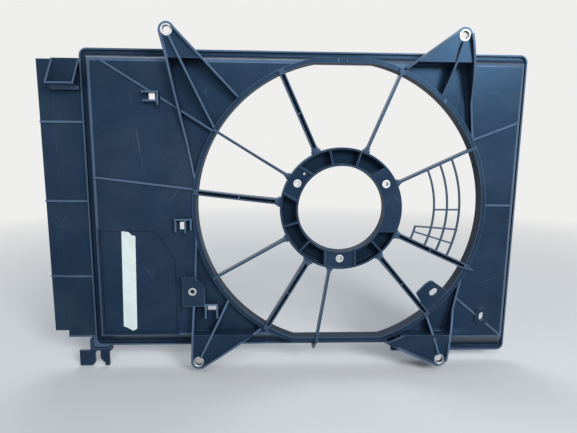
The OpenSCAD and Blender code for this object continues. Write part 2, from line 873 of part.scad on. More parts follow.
module slotted_tab() {
    s = STRUTS[4][0];
    side = polar(channel_w / 2, s + 90);
    color(plastic) plan(lip_front - 1, lip_front - 1 + tab_t) difference() {
        intersection() {
            union() {
                polygon([TAB[0], TAB[1] - [9, 5], TAB[1] - [4, 1], TAB[1], TAB[2],
                         polar(opening_r + 5, -38), polar(opening_r + 5, s)]);
            }
            polygon([side, side + polar(far, s), polar(2 * far, 0)]);
            opening_outline();
        }
        translate(TAB_HOLE) rotate(-50) slot_outline([0, 0], tab_slot_w, tab_slot_l);
    }
}

// Left side: baffle, holding pocket, hook, clips, relay bracket:

module side_baffle() {
    front = rim_back - baffle_t;
    color(plastic) {
        plan(front, rim_back) difference() {
            translate([baffle_step, baffle_bottom])
                square([rim_left - baffle_step, baffle_top - baffle_bottom]);
            // the rim's round corners stay clear of the inner leaf
        }
        plan(front + baffle_drop, rim_back + baffle_drop)
            translate([baffle_left, baffle_bottom + 8])
                square([baffle_step - baffle_left + eps, baffle_top - baffle_bottom - 9]);
        for (z = baffle_ribs) {
            plan(front - rib_h, front + eps) strip([baffle_step, z], [rim_left, z], rib_w);
            plan(front + baffle_drop - rib_h, front + baffle_drop + eps)
                strip([baffle_left, z], [baffle_step + eps, z], rib_w);
        }
        // edge bead along the bottom of the inner leaf
        plan(front - 1.5, front + eps)
            translate([baffle_step, baffle_bottom]) square([rim_left - baffle_step, 2]);
    }
}

module holding_pocket() {
    base = rim_back - baffle_t;
    top = [baffle_top, baffle_top - 30];
    x0 = baffle_step + 1;
    x1 = rim_left - 0.5;
    color(plastic) {
        for (x = [x0 + clip_wall / 2, x1 - clip_wall / 2])
            wall([x, top[0]], [x, top[1]], clip_wall, base - 0.5, base - holder_h, base, base);
        plan(base - holder_h, base) translate([x0, top[1] - clip_wall]) square([x1 - x0, clip_wall]);
        // rounded belly under the front bar
        difference() {
            intersection() {
                plan(base - holder_h, base) translate([x0, top[1] - clip_wall - 6])
                    square([x1 - x0, 6.5]);
                translate([x0, base - 2, top[1] - clip_wall]) rotate([0, 90, 0])
                    cylinder(r = 6, h = x1 - x0);
            }
        }
    }
}

module lower_hook() {
    x0 = -319;
    mid = x0 + 0.58 * hook_w;
    z0 = -190;
    color(plastic) {
        difference() {
            plan(rim_back - 12, rim_back - 3) translate([x0, z0]) square([hook_w, 22]);
            cowl_form();
            plan(0, far) rounded(rim_left, rim_right, rim_bottom, rim_top, corner_r);
            plan(0, far) translate([-far, baffle_bottom]) square([far, 20]);
            plan(0, rim_back - 6) translate([x0 + hook_t, z0 + hook_t])
                square([hook_w - 2 * hook_t, 22]);
        }
        // left foot, with its rounded inner corner
        plan(rim_back - 12, rim_back - 12 + hook_t) {
            translate([x0 - 14, -193]) square([21, 4]);
            translate([x0 - 14, -210]) square([13, 18]);
            translate([x0 - 14, -203]) square([20, 10.5]);
            disc([x0 - 1, -203], 7);
        }
        // right foot
        plan(rim_back - 12, rim_back - 12 + hook_t) {
            translate([x0 + hook_w - 14.5, -195]) square([12, 6]);
            translate([x0 + hook_w - 9, -210]) square([6, 16]);
            intersection() {
                disc([x0 + hook_w - 5, -197], 9.5);
                translate([x0 + hook_w - 14.5, -210]) square([11.5, 16]);
            }
        }
    }
}

// Walls of a harness clip beside its hole
module harness_clip(n) {
    color(plastic) plan(panel_front - clip_h, CLIPS[n][3]) clip_outline(CLIPS[n]);
}

module relay_outline() {
    p = RELAY;
    difference() {
        translate(p - [relay_w / 2, relay_h / 2]) square([relay_w, relay_h]);
        translate(p + [relay_w / 2 - 9, relay_h / 2 - 14]) difference() {
            square([10, 15]);
            circle(9);
        }
    }
}
RELAY = on_ring(209.47, 25.8);
RELAY_SCREW = RELAY + [-1.3, -0.2];
relay_step = 1.5;

// Where the relay bracket takes over the wall of the lower left ear, up to the ring
module relay_zone() {
    translate([RELAY[0] - relay_w, RELAY[1] - relay_h / 2]) square([2 * relay_w, 3 * relay_h]);
}

module relay_bracket() {
    p = RELAY - [relay_w / 2, relay_h / 2];
    color(plastic) difference() {
        union() {
            plan(relay_front, relay_front + skin) relay_outline();
            plan(relay_front, panel_front) {
                disc(RELAY_SCREW, insert_d / 2 + 2);
                // side walls down to the panel
                translate(p) square([skin, relay_h]);
                translate(p) square([relay_w / 2, skin]);
            }
            intersection() {
                ear_walls(EARS[2]);
                plan(relay_front, panel_front) relay_zone();
            }
            // step along the upper edge
            plan(relay_front - relay_step, relay_front + 1)
                translate(p + [0, relay_h - 5]) square([relay_w - 9, 5]);
        }
        plan(-far, far) {
            disc(RELAY_SCREW, insert_d / 2);
            ring_outline();
        }
    }
}

module relay_insert() {
    color(steel) plan(relay_front - 0.4, panel_front - 1) difference() {
        disc(RELAY_SCREW, insert_d / 2);
        disc(RELAY_SCREW, insert_bore_d / 2);
    }
}

// Bare strip of paper tape on the sunk field, with torn ends
module paper_tape() {
    floor_y = panel_front + field_sunk;
    p = [-260.5, tape_z];
    color(paper) plan(floor_y - tape_t, floor_y) translate(p) rotate(-1.3) polygon([
        [-tape_w / 2, -tape_l / 2 + 6], [-tape_w / 5, -tape_l / 2 + 4],
        [tape_w / 5, -tape_l / 2], [tape_w / 2, -tape_l / 2 + 3],
        [tape_w / 2, tape_l / 2 - 6], [tape_w / 4, tape_l / 2 - 5],
        [0, tape_l / 2 - 1], [-tape_w / 2, tape_l / 2]
    ]);
}

cowl_panel_left();
cowl_panel_right();
cowl_bar_top();
cowl_bar_bottom();
opening_ring();
motor_ring();
strut(0);  // strut_01
strut(1);  // strut_02
strut(2);  // strut_03
strut(3);  // strut_04
strut(4);  // strut_05
strut(5);  // strut_06
strut(6);  // strut_07
strut(7);  // strut_08
strut(8);  // strut_09
strut(9);  // strut_10
ear(EARS[0]);  // ear_top_left
ear(EARS[1]);  // ear_top_right
ear(EARS[2]) plan(-far, far) relay_zone();  // ear_bottom_left
ear(EARS[3]);  // ear_bottom_right
finger_guard();
slotted_tab();
side_baffle();
holding_pocket();
lower_hook();
harness_clip(0);  // harness_clip_upper
harness_clip(1);  // harness_clip_middle
harness_clip(2);  // harness_clip_lower
relay_bracket();
sleeve(EARS[0]);  // sleeve_top_left
sleeve(EARS[1]);  // sleeve_top_right
sleeve(EARS[2]);  // sleeve_bottom_left
sleeve(EARS[3]);  // sleeve_bottom_right
motor_insert(PAD_ANGLES[0], pad_sunk);  // motor_insert_left
motor_insert(FLAT_PAD_ANGLE, 0);  // motor_insert_right
motor_insert(PAD_ANGLES[1], pad_sunk);  // motor_insert_bottom
relay_insert();
paper_tape();
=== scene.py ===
"""Looks of the radiator fan cowl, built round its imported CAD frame.

Everything is in metres and in the frame of the part: X to the right, Z up, and Y from the
engine side, where the camera stands, towards the radiator.
"""

import logging
import math
from dataclasses import dataclass, field
from enum import Enum

import bmesh
import bpy
import numpy as np
from mathutils import Matrix, Vector
from mathutils.bvhtree import BVHTree

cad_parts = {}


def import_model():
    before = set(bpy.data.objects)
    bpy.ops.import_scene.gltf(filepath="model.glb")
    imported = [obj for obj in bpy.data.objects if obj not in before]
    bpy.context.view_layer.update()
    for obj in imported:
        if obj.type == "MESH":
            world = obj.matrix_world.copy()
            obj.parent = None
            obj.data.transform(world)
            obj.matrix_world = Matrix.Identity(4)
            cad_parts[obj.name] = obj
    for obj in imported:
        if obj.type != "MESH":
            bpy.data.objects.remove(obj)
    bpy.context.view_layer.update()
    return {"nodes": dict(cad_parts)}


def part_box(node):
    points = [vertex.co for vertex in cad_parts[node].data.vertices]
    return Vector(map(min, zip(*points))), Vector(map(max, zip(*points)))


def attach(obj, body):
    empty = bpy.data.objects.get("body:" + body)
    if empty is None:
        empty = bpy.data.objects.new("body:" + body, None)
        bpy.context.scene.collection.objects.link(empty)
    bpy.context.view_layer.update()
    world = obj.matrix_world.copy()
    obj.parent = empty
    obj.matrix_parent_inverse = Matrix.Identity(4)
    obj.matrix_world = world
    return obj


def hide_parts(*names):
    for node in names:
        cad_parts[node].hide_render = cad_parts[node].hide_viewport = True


MM = 0.001
ROUND_SLOT = 1
# Face attribute for edge wear with a painted highlight, on the rounds and on rib fronts.
EDGE_WEAR_AND_HIGHLIGHT = "edge_wear_and_highlight"
# Face attribute for painted shade: cell floors and ring bores are darkened where shade falls.
PAINTED_SHADE = "painted_shade"
TAPE_NODE = "paper_tape"
SLEEVE_GROOVE = 0.12 * MM
INSERT_CHAMFER = 0.35 * MM
log = logging.getLogger("fan_cowl")


# Node helpers


class Sheet:
    """A node tree with short calls for adding and joining nodes."""

    def __init__(self, tree: bpy.types.NodeTree) -> None:
        """Wraps a node tree.

        Args:
            tree: the material's or group's node tree.
        """
        self.tree = tree

    def node(self, kind: str, **values: object) -> bpy.types.Node:
        """Adds a node.

        Args:
            kind: the node's type name without the ShaderNode prefix.
            values: node properties by name, or inputs by name with spaces as underscores.

        Returns:
            The new node.
        """
        made = self.tree.nodes.new("ShaderNode" + kind)
        for name, value in values.items():
            if hasattr(made, name):
                setattr(made, name, value)
            else:
                self.put(value, made.inputs[name.replace("_", " ")])
        return made

    def put(self, value: object, socket: bpy.types.NodeSocket) -> None:
        """Links an output to a socket, or sets the socket to a plain value.

        Args:
            value: an output socket, a number or a tuple.
            socket: the input that takes it.
        """
        if isinstance(value, bpy.types.NodeSocket):
            self.tree.links.new(value, socket)
        else:
            socket.default_value = value

    def math(self, operation: str, a: object, b: object) -> bpy.types.NodeSocket:
        """Adds a Math node.

        Args:
            operation: the node's operation.
            a: first input.
            b: second input.

        Returns:
            The node's output.
        """
        made = self.tree.nodes.new("ShaderNodeMath")
        made.operation = operation
        self.put(a, made.inputs[0])
        self.put(b, made.inputs[1])
        return made.outputs[0]

    def ramp(self, value: object, low: float, high: float) -> bpy.types.NodeSocket:
        """Maps low..high to 0..1 with clamped ends.

        Args:
            value: the output to map.
            low: the value that becomes 0.
            high: the value that becomes 1.

        Returns:
            The mapped value.
        """
        made = self.tree.nodes.new("ShaderNodeMapRange")
        made.clamp = True
        self.put(value, made.inputs["Value"])
        made.inputs["From Min"].default_value = low
        made.inputs["From Max"].default_value = high
        return made.outputs["Result"]

    def noise(self, where: object, scale: float, detail: float = 3.0,
              rough: float = 0.55) -> bpy.types.NodeSocket:
        """Adds a Noise Texture.

        Args:
            where: the coordinates.
            scale: cells per metre.
            detail: octaves.
            rough: roughness of the octaves.

        Returns:
            The noise value.
        """
        made = self.tree.nodes.new("ShaderNodeTexNoise")
        self.put(where, made.inputs["Vector"])
        made.inputs["Scale"].default_value = scale
        made.inputs["Detail"].default_value = detail
        made.inputs["Roughness"].default_value = rough
        return made.outputs["Fac"]

    def mix(self, share: object, a: object, b: object) -> bpy.types.NodeSocket:
        """Mixes two colours.

        Args:
            share: how much of the second.
            a: first colour.
            b: second colour.

        Returns:
            The mixed colour.
        """
        made = self.tree.nodes.new("ShaderNodeMix")
        made.data_type = "RGBA"
        self.put(share, made.inputs["Factor"])
        self.put(a, made.inputs[6])
        self.put(b, made.inputs[7])
        return made.outputs[2]

    def bump(self, height: object, strength: float, distance: float) -> bpy.types.NodeSocket:
        """Adds a Bump node.

        Args:
            height: the height.
            strength: how strongly the height turns the normal.
            distance: the depth of a height of 1, in metres.

        Returns:
            The turned normal.
        """
        made = self.node("Bump")
        made.inputs["Strength"].default_value = strength
        made.inputs["Distance"].default_value = distance
        self.put(height, made.inputs["Height"])
        return made.outputs["Normal"]

    def effect(self, tree: bpy.types.NodeTree, **values: float) -> bpy.types.Node:
        """Places a shared node group.

        Args:
            tree: the group.
            values: its inputs by name, with spaces as underscores.

        Returns:
            The group's node.
        """
        made = self.node("Group", node_tree=tree)
        for name, value in values.items():
            made.inputs[name.replace("_", " ")].default_value = value
        return made


def new_material(name: str) -> tuple:
    """Makes a material with a plain shader.

    Args:
        name: the material's name.

    Returns:
        The material, its sheet and its Principled BSDF.
    """
    material = bpy.data.materials.new(name)
    material.use_nodes = True
    return material, Sheet(material.node_tree), material.node_tree.nodes["Principled BSDF"]


def new_group(name: str, inputs: dict[str, float], outputs: dict[str, str]) -> tuple:
    """Makes an empty shader node group.

    Args:
        name: the group's name.
        inputs: float inputs with their default values.
        outputs: output names with their socket types.

    Returns:
        The sheet, the group's input node and its output node.
    """
    tree = bpy.data.node_groups.new(name, "ShaderNodeTree")
    for label, value in inputs.items():
        made = tree.interface.new_socket(label, in_out="INPUT", socket_type="NodeSocketFloat")
        made.default_value = value
    for label, kind in outputs.items():
        tree.interface.new_socket(label, in_out="OUTPUT", socket_type=kind)
    sheet = Sheet(tree)
    return sheet, tree.nodes.new("NodeGroupInput"), tree.nodes.new("NodeGroupOutput")


# Shared effects


@dataclass(frozen=True)
class SurfaceGrain:
    """Fine moulded or turned grain, and a slow tone that drifts over the surface."""

    fine_scale: float = 1500.0
    fine_detail: float = 2.0
    slow_scale: float = 12.0
    slow_detail: float = 5.0
    slow_rough: float = 0.6

    def build(self) -> bpy.types.NodeTree:
        """Builds the group from noise in two sizes.

        Returns:
            The group, with a height and a slow tone as its outputs.
        """
        sheet, start, end = new_group(
            "surface_grain", {"Grain Scale": self.fine_scale, "Tone Scale": self.slow_scale},
            {"Height": "NodeSocketFloat", "Tone": "NodeSocketFloat"})
        where = sheet.node("TexCoord").outputs["Object"]
        fine = sheet.node("TexNoise")
        sheet.put(where, fine.inputs["Vector"])
        sheet.put(start.outputs["Grain Scale"], fine.inputs["Scale"])
        fine.inputs["Detail"].default_value = self.fine_detail
        slow = sheet.node("TexNoise")
        sheet.put(where, slow.inputs["Vector"])
        sheet.put(start.outputs["Tone Scale"], slow.inputs["Scale"])
        slow.inputs["Detail"].default_value = self.slow_detail
        slow.inputs["Roughness"].default_value = self.slow_rough
        sheet.put(fine.outputs["Fac"], end.inputs["Height"])
        sheet.put(slow.outputs["Fac"], end.inputs["Tone"])
        return sheet.tree


@dataclass(frozen=True)
class HairScratches:
    """Sparse straight hair scratches on the faces that look to the front.

    They are the borders of cells that are stretched along the scratch and along Y, and a patch
    mask breaks them up. Each layer has its own scale, squeeze and direction.
    """

    layers: tuple = ((26.0, 0.12), (38.0, 0.1), (19.0, 0.16))
    first_turn: float = 0.5
    turn_step: float = 1.15
    stretch_in_depth: float = 20.0
    hair_width: float = 0.004
    patch_scale: float = 13.0
    patch_scale_step: float = 5.0
    patch_detail: float = 2.0
    patch_low: float = 0.58
    patch_high: float = 0.70

    def build(self) -> bpy.types.NodeTree:
        """Builds the group.

        Returns:
            The group, with one mask as its output.
        """
        sheet, start, end = new_group(
            "hair_scratches", {"Density": 0.5}, {"Mask": "NodeSocketFloat"})
        where = sheet.node("TexCoord").outputs["Object"]
        total: object = 0.0
        for layer, (scale, squeeze) in enumerate(self.layers):
            turn = self.first_turn + self.turn_step * layer
            place = sheet.node("Mapping", vector_type="TEXTURE")
            sheet.put(where, place.inputs["Vector"])
            place.inputs["Rotation"].default_value = (0.0, turn, 0.0)
            place.inputs["Scale"].default_value = (1.0, self.stretch_in_depth, 1.0 / squeeze)
            cells = sheet.node("TexVoronoi", feature="DISTANCE_TO_EDGE")
            cells.inputs["Scale"].default_value = scale
            sheet.put(place.outputs["Vector"], cells.inputs["Vector"])
            far = sheet.ramp(cells.outputs["Distance"], 0.0, self.hair_width)
            thin = sheet.math("SUBTRACT", 1.0, far)
            spread = self.patch_scale + self.patch_scale_step * layer
            patch = sheet.noise(where, spread, self.patch_detail)
            patch = sheet.ramp(patch, self.patch_low, self.patch_high)
            total = sheet.math("MAXIMUM", total, sheet.math("MULTIPLY", thin, patch))
        sheet.put(sheet.math("MULTIPLY", total, start.outputs["Density"]), end.inputs["Mask"])
        return sheet.tree


@dataclass(frozen=True)
class SettledDust:
    """Dust that lies in broad patches, with specks in them."""

    broad_scale: float = 14.0
    broad_detail: float = 6.0
    broad_rough: float = 0.62
    broad_low: float = 0.44
    broad_high: float = 0.78
    broad_share: float = 0.55
    speck_scale: float = 620.0
    speck_detail: float = 2.0
    speck_low: float = 0.62
    speck_high: float = 0.74
    speck_share: float = 0.8

    def build(self) -> bpy.types.NodeTree:
        """Builds the group.

        Returns:
            The group, with one mask as its output.
        """
        sheet, start, end = new_group(
            "settled_dust", {"Amount": 0.3}, {"Mask": "NodeSocketFloat"})
        where = sheet.node("TexCoord").outputs["Object"]
        broad = sheet.noise(where, self.broad_scale, self.broad_detail, self.broad_rough)
        broad = sheet.ramp(broad, self.broad_low, self.broad_high)
        speck = sheet.noise(where, self.speck_scale, self.speck_detail)
        speck = sheet.math("MULTIPLY", sheet.ramp(speck, self.speck_low, self.speck_high), broad)
        mixed = sheet.math("ADD", sheet.math("MULTIPLY", broad, self.broad_share),
                           sheet.math("MULTIPLY", speck, self.speck_share))
        sheet.put(sheet.math("MULTIPLY", mixed, start.outputs["Amount"]), end.inputs["Mask"])
        return sheet.tree


class Effects:
    """The node groups that the finishes share."""

    def __init__(self) -> None:
        """Builds every group once."""
        self.grain = SurfaceGrain().build()
        self.scratches = HairScratches().build()
        self.dust = SettledDust().build()


# Finishes


class Part(Enum):
    """The material slots of the record."""

    COWL = "cowl_plastic"
    SLEEVE = "sleeve_steel"
    INSERT = "insert_steel"
    TAPE = "tape"


@dataclass(frozen=True)
class MouldedPlastic:
    """Black glass-filled nylon, fine satin grain, handling marks, a little dust, painted highlight
    and painted shade.
    """

    name: str = "moulded_black_nylon"
    base: tuple = (0.0078, 0.0162, 0.0330, 1.0)
    paler: tuple = (0.0138, 0.0275, 0.0520, 1.0)
    wear_and_highlight: tuple = (0.11, 0.165, 0.25, 1.0)
    shaded: tuple = (0.0016, 0.0034, 0.0075, 1.0)
    sheen: tuple = (0.27, 0.58, 1.0, 1.0)
    dusty: tuple = (0.12, 0.135, 0.15, 1.0)
    scratched: tuple = (0.12, 0.13, 0.14, 1.0)
    grain_scale: float = 1900.0
    tone_scale: float = 11.0
    tone_low: float = 0.35
    tone_high: float = 0.7
    paler_share: float = 0.45
    wear_and_highlight_floor: float = 0.35
    wear_and_highlight_share: float = 0.66
    shaded_share: float = 0.9
    rough_low: float = 0.25
    rough_high: float = 0.42
    dusty_rough: float = 0.5
    shaded_rough: float = 0.3
    dust: float = 0.16
    scratch: float = 0.32
    scratch_depth: float = 0.7
    bump_strength: float = 0.22
    bump_depth: float = 0.2 * MM
    refraction: float = 1.5
    gloss: float = 0.27

    def build(self, effects: Effects) -> bpy.types.Material:
        """Builds the material.

        Args:
            effects: the shared node groups.

        Returns:
            The finished material.
        """
        material, sheet, shader = new_material(self.name)
        grain = sheet.effect(effects.grain, Grain_Scale=self.grain_scale,
                             Tone_Scale=self.tone_scale)
        scratches = sheet.effect(effects.scratches, Density=self.scratch).outputs["Mask"]
        dust = sheet.effect(effects.dust, Amount=self.dust).outputs["Mask"]
        # Edge wear and painted highlight: the rounds and rib fronts are lightened towards a pale
        # blue.
        edge = sheet.node("Attribute", attribute_name=EDGE_WEAR_AND_HIGHLIGHT).outputs["Fac"]
        edge = sheet.math("MULTIPLY", edge,
                          sheet.math("ADD", self.wear_and_highlight_floor, grain.outputs["Tone"]))
        # Painted shade: walled cell floors and ring bores read this mask and are darkened towards
        # the shaded colour.
        shade_mask = sheet.node("Attribute", attribute_name=PAINTED_SHADE).outputs["Fac"]
        tone = sheet.ramp(grain.outputs["Tone"], self.tone_low, self.tone_high)
        colour = sheet.mix(sheet.math("MULTIPLY", tone, self.paler_share), self.base, self.paler)
        wear_and_highlight = sheet.math("MULTIPLY", edge, self.wear_and_highlight_share)
        colour = sheet.mix(wear_and_highlight, colour, self.wear_and_highlight)
        colour = sheet.mix(scratches, colour, self.scratched)
        colour = sheet.mix(dust, colour, self.dusty)
        # The painted shade is mixed into the colour here.
        shaded = sheet.math("MULTIPLY", shade_mask, self.shaded_share)
        colour = sheet.mix(shaded, colour, self.shaded)
        sheet.put(colour, shader.inputs["Base Color"])
        spread = sheet.math("MULTIPLY", tone, self.rough_high - self.rough_low)
        rough = sheet.math("ADD", self.rough_low, spread)
        rough = sheet.math("ADD", rough, sheet.math("MULTIPLY", dust, self.dusty_rough))
        rough = sheet.math("ADD", rough, sheet.math("MULTIPLY", shade_mask, self.shaded_rough))
        sheet.put(rough, shader.inputs["Roughness"])
        height = sheet.math("SUBTRACT", grain.outputs["Height"],
                            sheet.math("MULTIPLY", scratches, self.scratch_depth))
        normal = sheet.bump(height, self.bump_strength, self.bump_depth)
        sheet.put(normal, shader.inputs["Normal"])
        shader.inputs["IOR"].default_value = self.refraction
        shader.inputs["Specular IOR Level"].default_value = self.gloss
        shader.inputs["Specular Tint"].default_value = self.sheen
        return material


@dataclass(frozen=True)
class TurnedSteel:
    """Steel with fine lathe rings round its own axis and a little rust bloom."""

    name: str
    centre: tuple
    base: tuple = (0.44, 0.46, 0.48, 1.0)
    stain: tuple = (0.22, 0.18, 0.15, 1.0)
    stain_share: float = 0.35
    stain_low: float = 0.52
    stain_high: float = 0.72
    stain_rough: float = 0.3
    rough: float = 0.46
    grain_scale: float = 2600.0
    tone_scale: float = 240.0
    ring_scale: float = 420.0
    ring_waver: float = 0.3
    bump_strength: float = 0.08
    bump_depth: float = 0.04 * MM

    def build(self, effects: Effects) -> bpy.types.Material:
        """Builds the material.

        Args:
            effects: the shared node groups.

        Returns:
            The finished material.
        """
        material, sheet, shader = new_material(self.name)
        grain = sheet.effect(effects.grain, Grain_Scale=self.grain_scale,
                             Tone_Scale=self.tone_scale)
        where = sheet.node("Mapping", vector_type="TEXTURE")
        sheet.put(sheet.node("TexCoord").outputs["Object"], where.inputs["Vector"])
        where.inputs["Location"].default_value = self.centre
        rings = sheet.node("TexWave", wave_type="RINGS", rings_direction="Y")
        sheet.put(where.outputs["Vector"], rings.inputs["Vector"])
        rings.inputs["Scale"].default_value = self.ring_scale
        rings.inputs["Distortion"].default_value = self.ring_waver
        spots = sheet.ramp(grain.outputs["Tone"], self.stain_low, self.stain_high)
        stained = sheet.math("MULTIPLY", spots, self.stain_share)
        sheet.put(sheet.mix(stained, self.base, self.stain), shader.inputs["Base Color"])
        shader.inputs["Metallic"].default_value = 1.0
        rough = sheet.math("ADD", self.rough, sheet.math("MULTIPLY", spots, self.stain_rough))
        sheet.put(rough, shader.inputs["Roughness"])
        height = sheet.math("ADD", rings.outputs["Fac"], grain.outputs["Height"])
        normal = sheet.bump(height, self.bump_strength, self.bump_depth)
        sheet.put(normal, shader.inputs["Normal"])
        return material


@dataclass(frozen=True)
class PaperTape:
    """Creased pale paper tape, with its crepe across it and grubby patches."""

    name: str = "crepe_paper_tape"
    base: tuple = (0.54, 0.61, 0.60, 1.0)
    grubby: tuple = (0.36, 0.40, 0.38, 1.0)
    dusty: tuple = (0.30, 0.30, 0.28, 1.0)
    grain_scale: float = 2400.0
    tone_scale: float = 60.0
    tone_low: float = 0.42
    tone_high: float = 0.75
    grubby_share: float = 0.5
    dust: float = 0.5
    crepe_squeeze: tuple = (0.25, 1.0, 1.0)
    crepe_scale: float = 900.0
    crepe_share: float = 0.18
    rough: float = 0.72
    bump_strength: float = 0.5
    bump_depth: float = 0.2 * MM

    def build(self, effects: Effects) -> bpy.types.Material:
        """Builds the material.

        Args:
            effects: the shared node groups.

        Returns:
            The finished material.
        """
        material, sheet, shader = new_material(self.name)
        grain = sheet.effect(effects.grain, Grain_Scale=self.grain_scale,
                             Tone_Scale=self.tone_scale)
        dust = sheet.effect(effects.dust, Amount=self.dust).outputs["Mask"]
        crepe = sheet.node("Mapping")
        sheet.put(sheet.node("TexCoord").outputs["Object"], crepe.inputs["Vector"])
        crepe.inputs["Scale"].default_value = self.crepe_squeeze
        ridges = sheet.noise(crepe.outputs["Vector"], self.crepe_scale)
        tone = sheet.ramp(grain.outputs["Tone"], self.tone_low, self.tone_high)
        colour = sheet.mix(sheet.math("MULTIPLY", tone, self.grubby_share), self.base, self.grubby)
        colour = sheet.mix(sheet.math("MULTIPLY", ridges, self.crepe_share), colour, self.grubby)
        colour = sheet.mix(dust, colour, self.dusty)
        sheet.put(colour, shader.inputs["Base Color"])
        shader.inputs["Roughness"].default_value = self.rough
        height = sheet.math("ADD", ridges, grain.outputs["Height"])
        normal = sheet.bump(height, self.bump_strength, self.bump_depth)
        sheet.put(normal, shader.inputs["Normal"])
        return material


# Meshes


def surface_mesh(name: str, points: np.ndarray) -> bpy.types.Mesh:
    """Turns a grid of points into a mesh of quads.

    The grid is a function of two parameters, rows by columns, and closes on itself both ways.

    Args:
        name: the mesh's name.
        points: an array of rows x columns x 3.

    Returns:
        The mesh.
    """
    rows, cols = points.shape[:2]
    index = np.arange(rows * cols).reshape(rows, cols)
    down = np.roll(index, -1, axis=0)
    quads = np.stack(
        [index, np.roll(index, -1, axis=1), np.roll(down, -1, axis=1), down], axis=-1)
    mesh = bpy.data.meshes.new(name)
    mesh.from_pydata(points.reshape(-1, 3).tolist(), [], quads.reshape(-1, 4).tolist())
    mesh.update()
    return mesh


def place_in_scene(name: str, mesh: bpy.types.Mesh) -> bpy.types.Object:
    """Links a mesh to the scene as an object at the origin.

    Args:
        name: the object's name.
        mesh: its mesh.

    Returns:
        The object.
    """
    made = bpy.data.objects.new(name, mesh)
    bpy.context.scene.collection.objects.link(made)
    return made


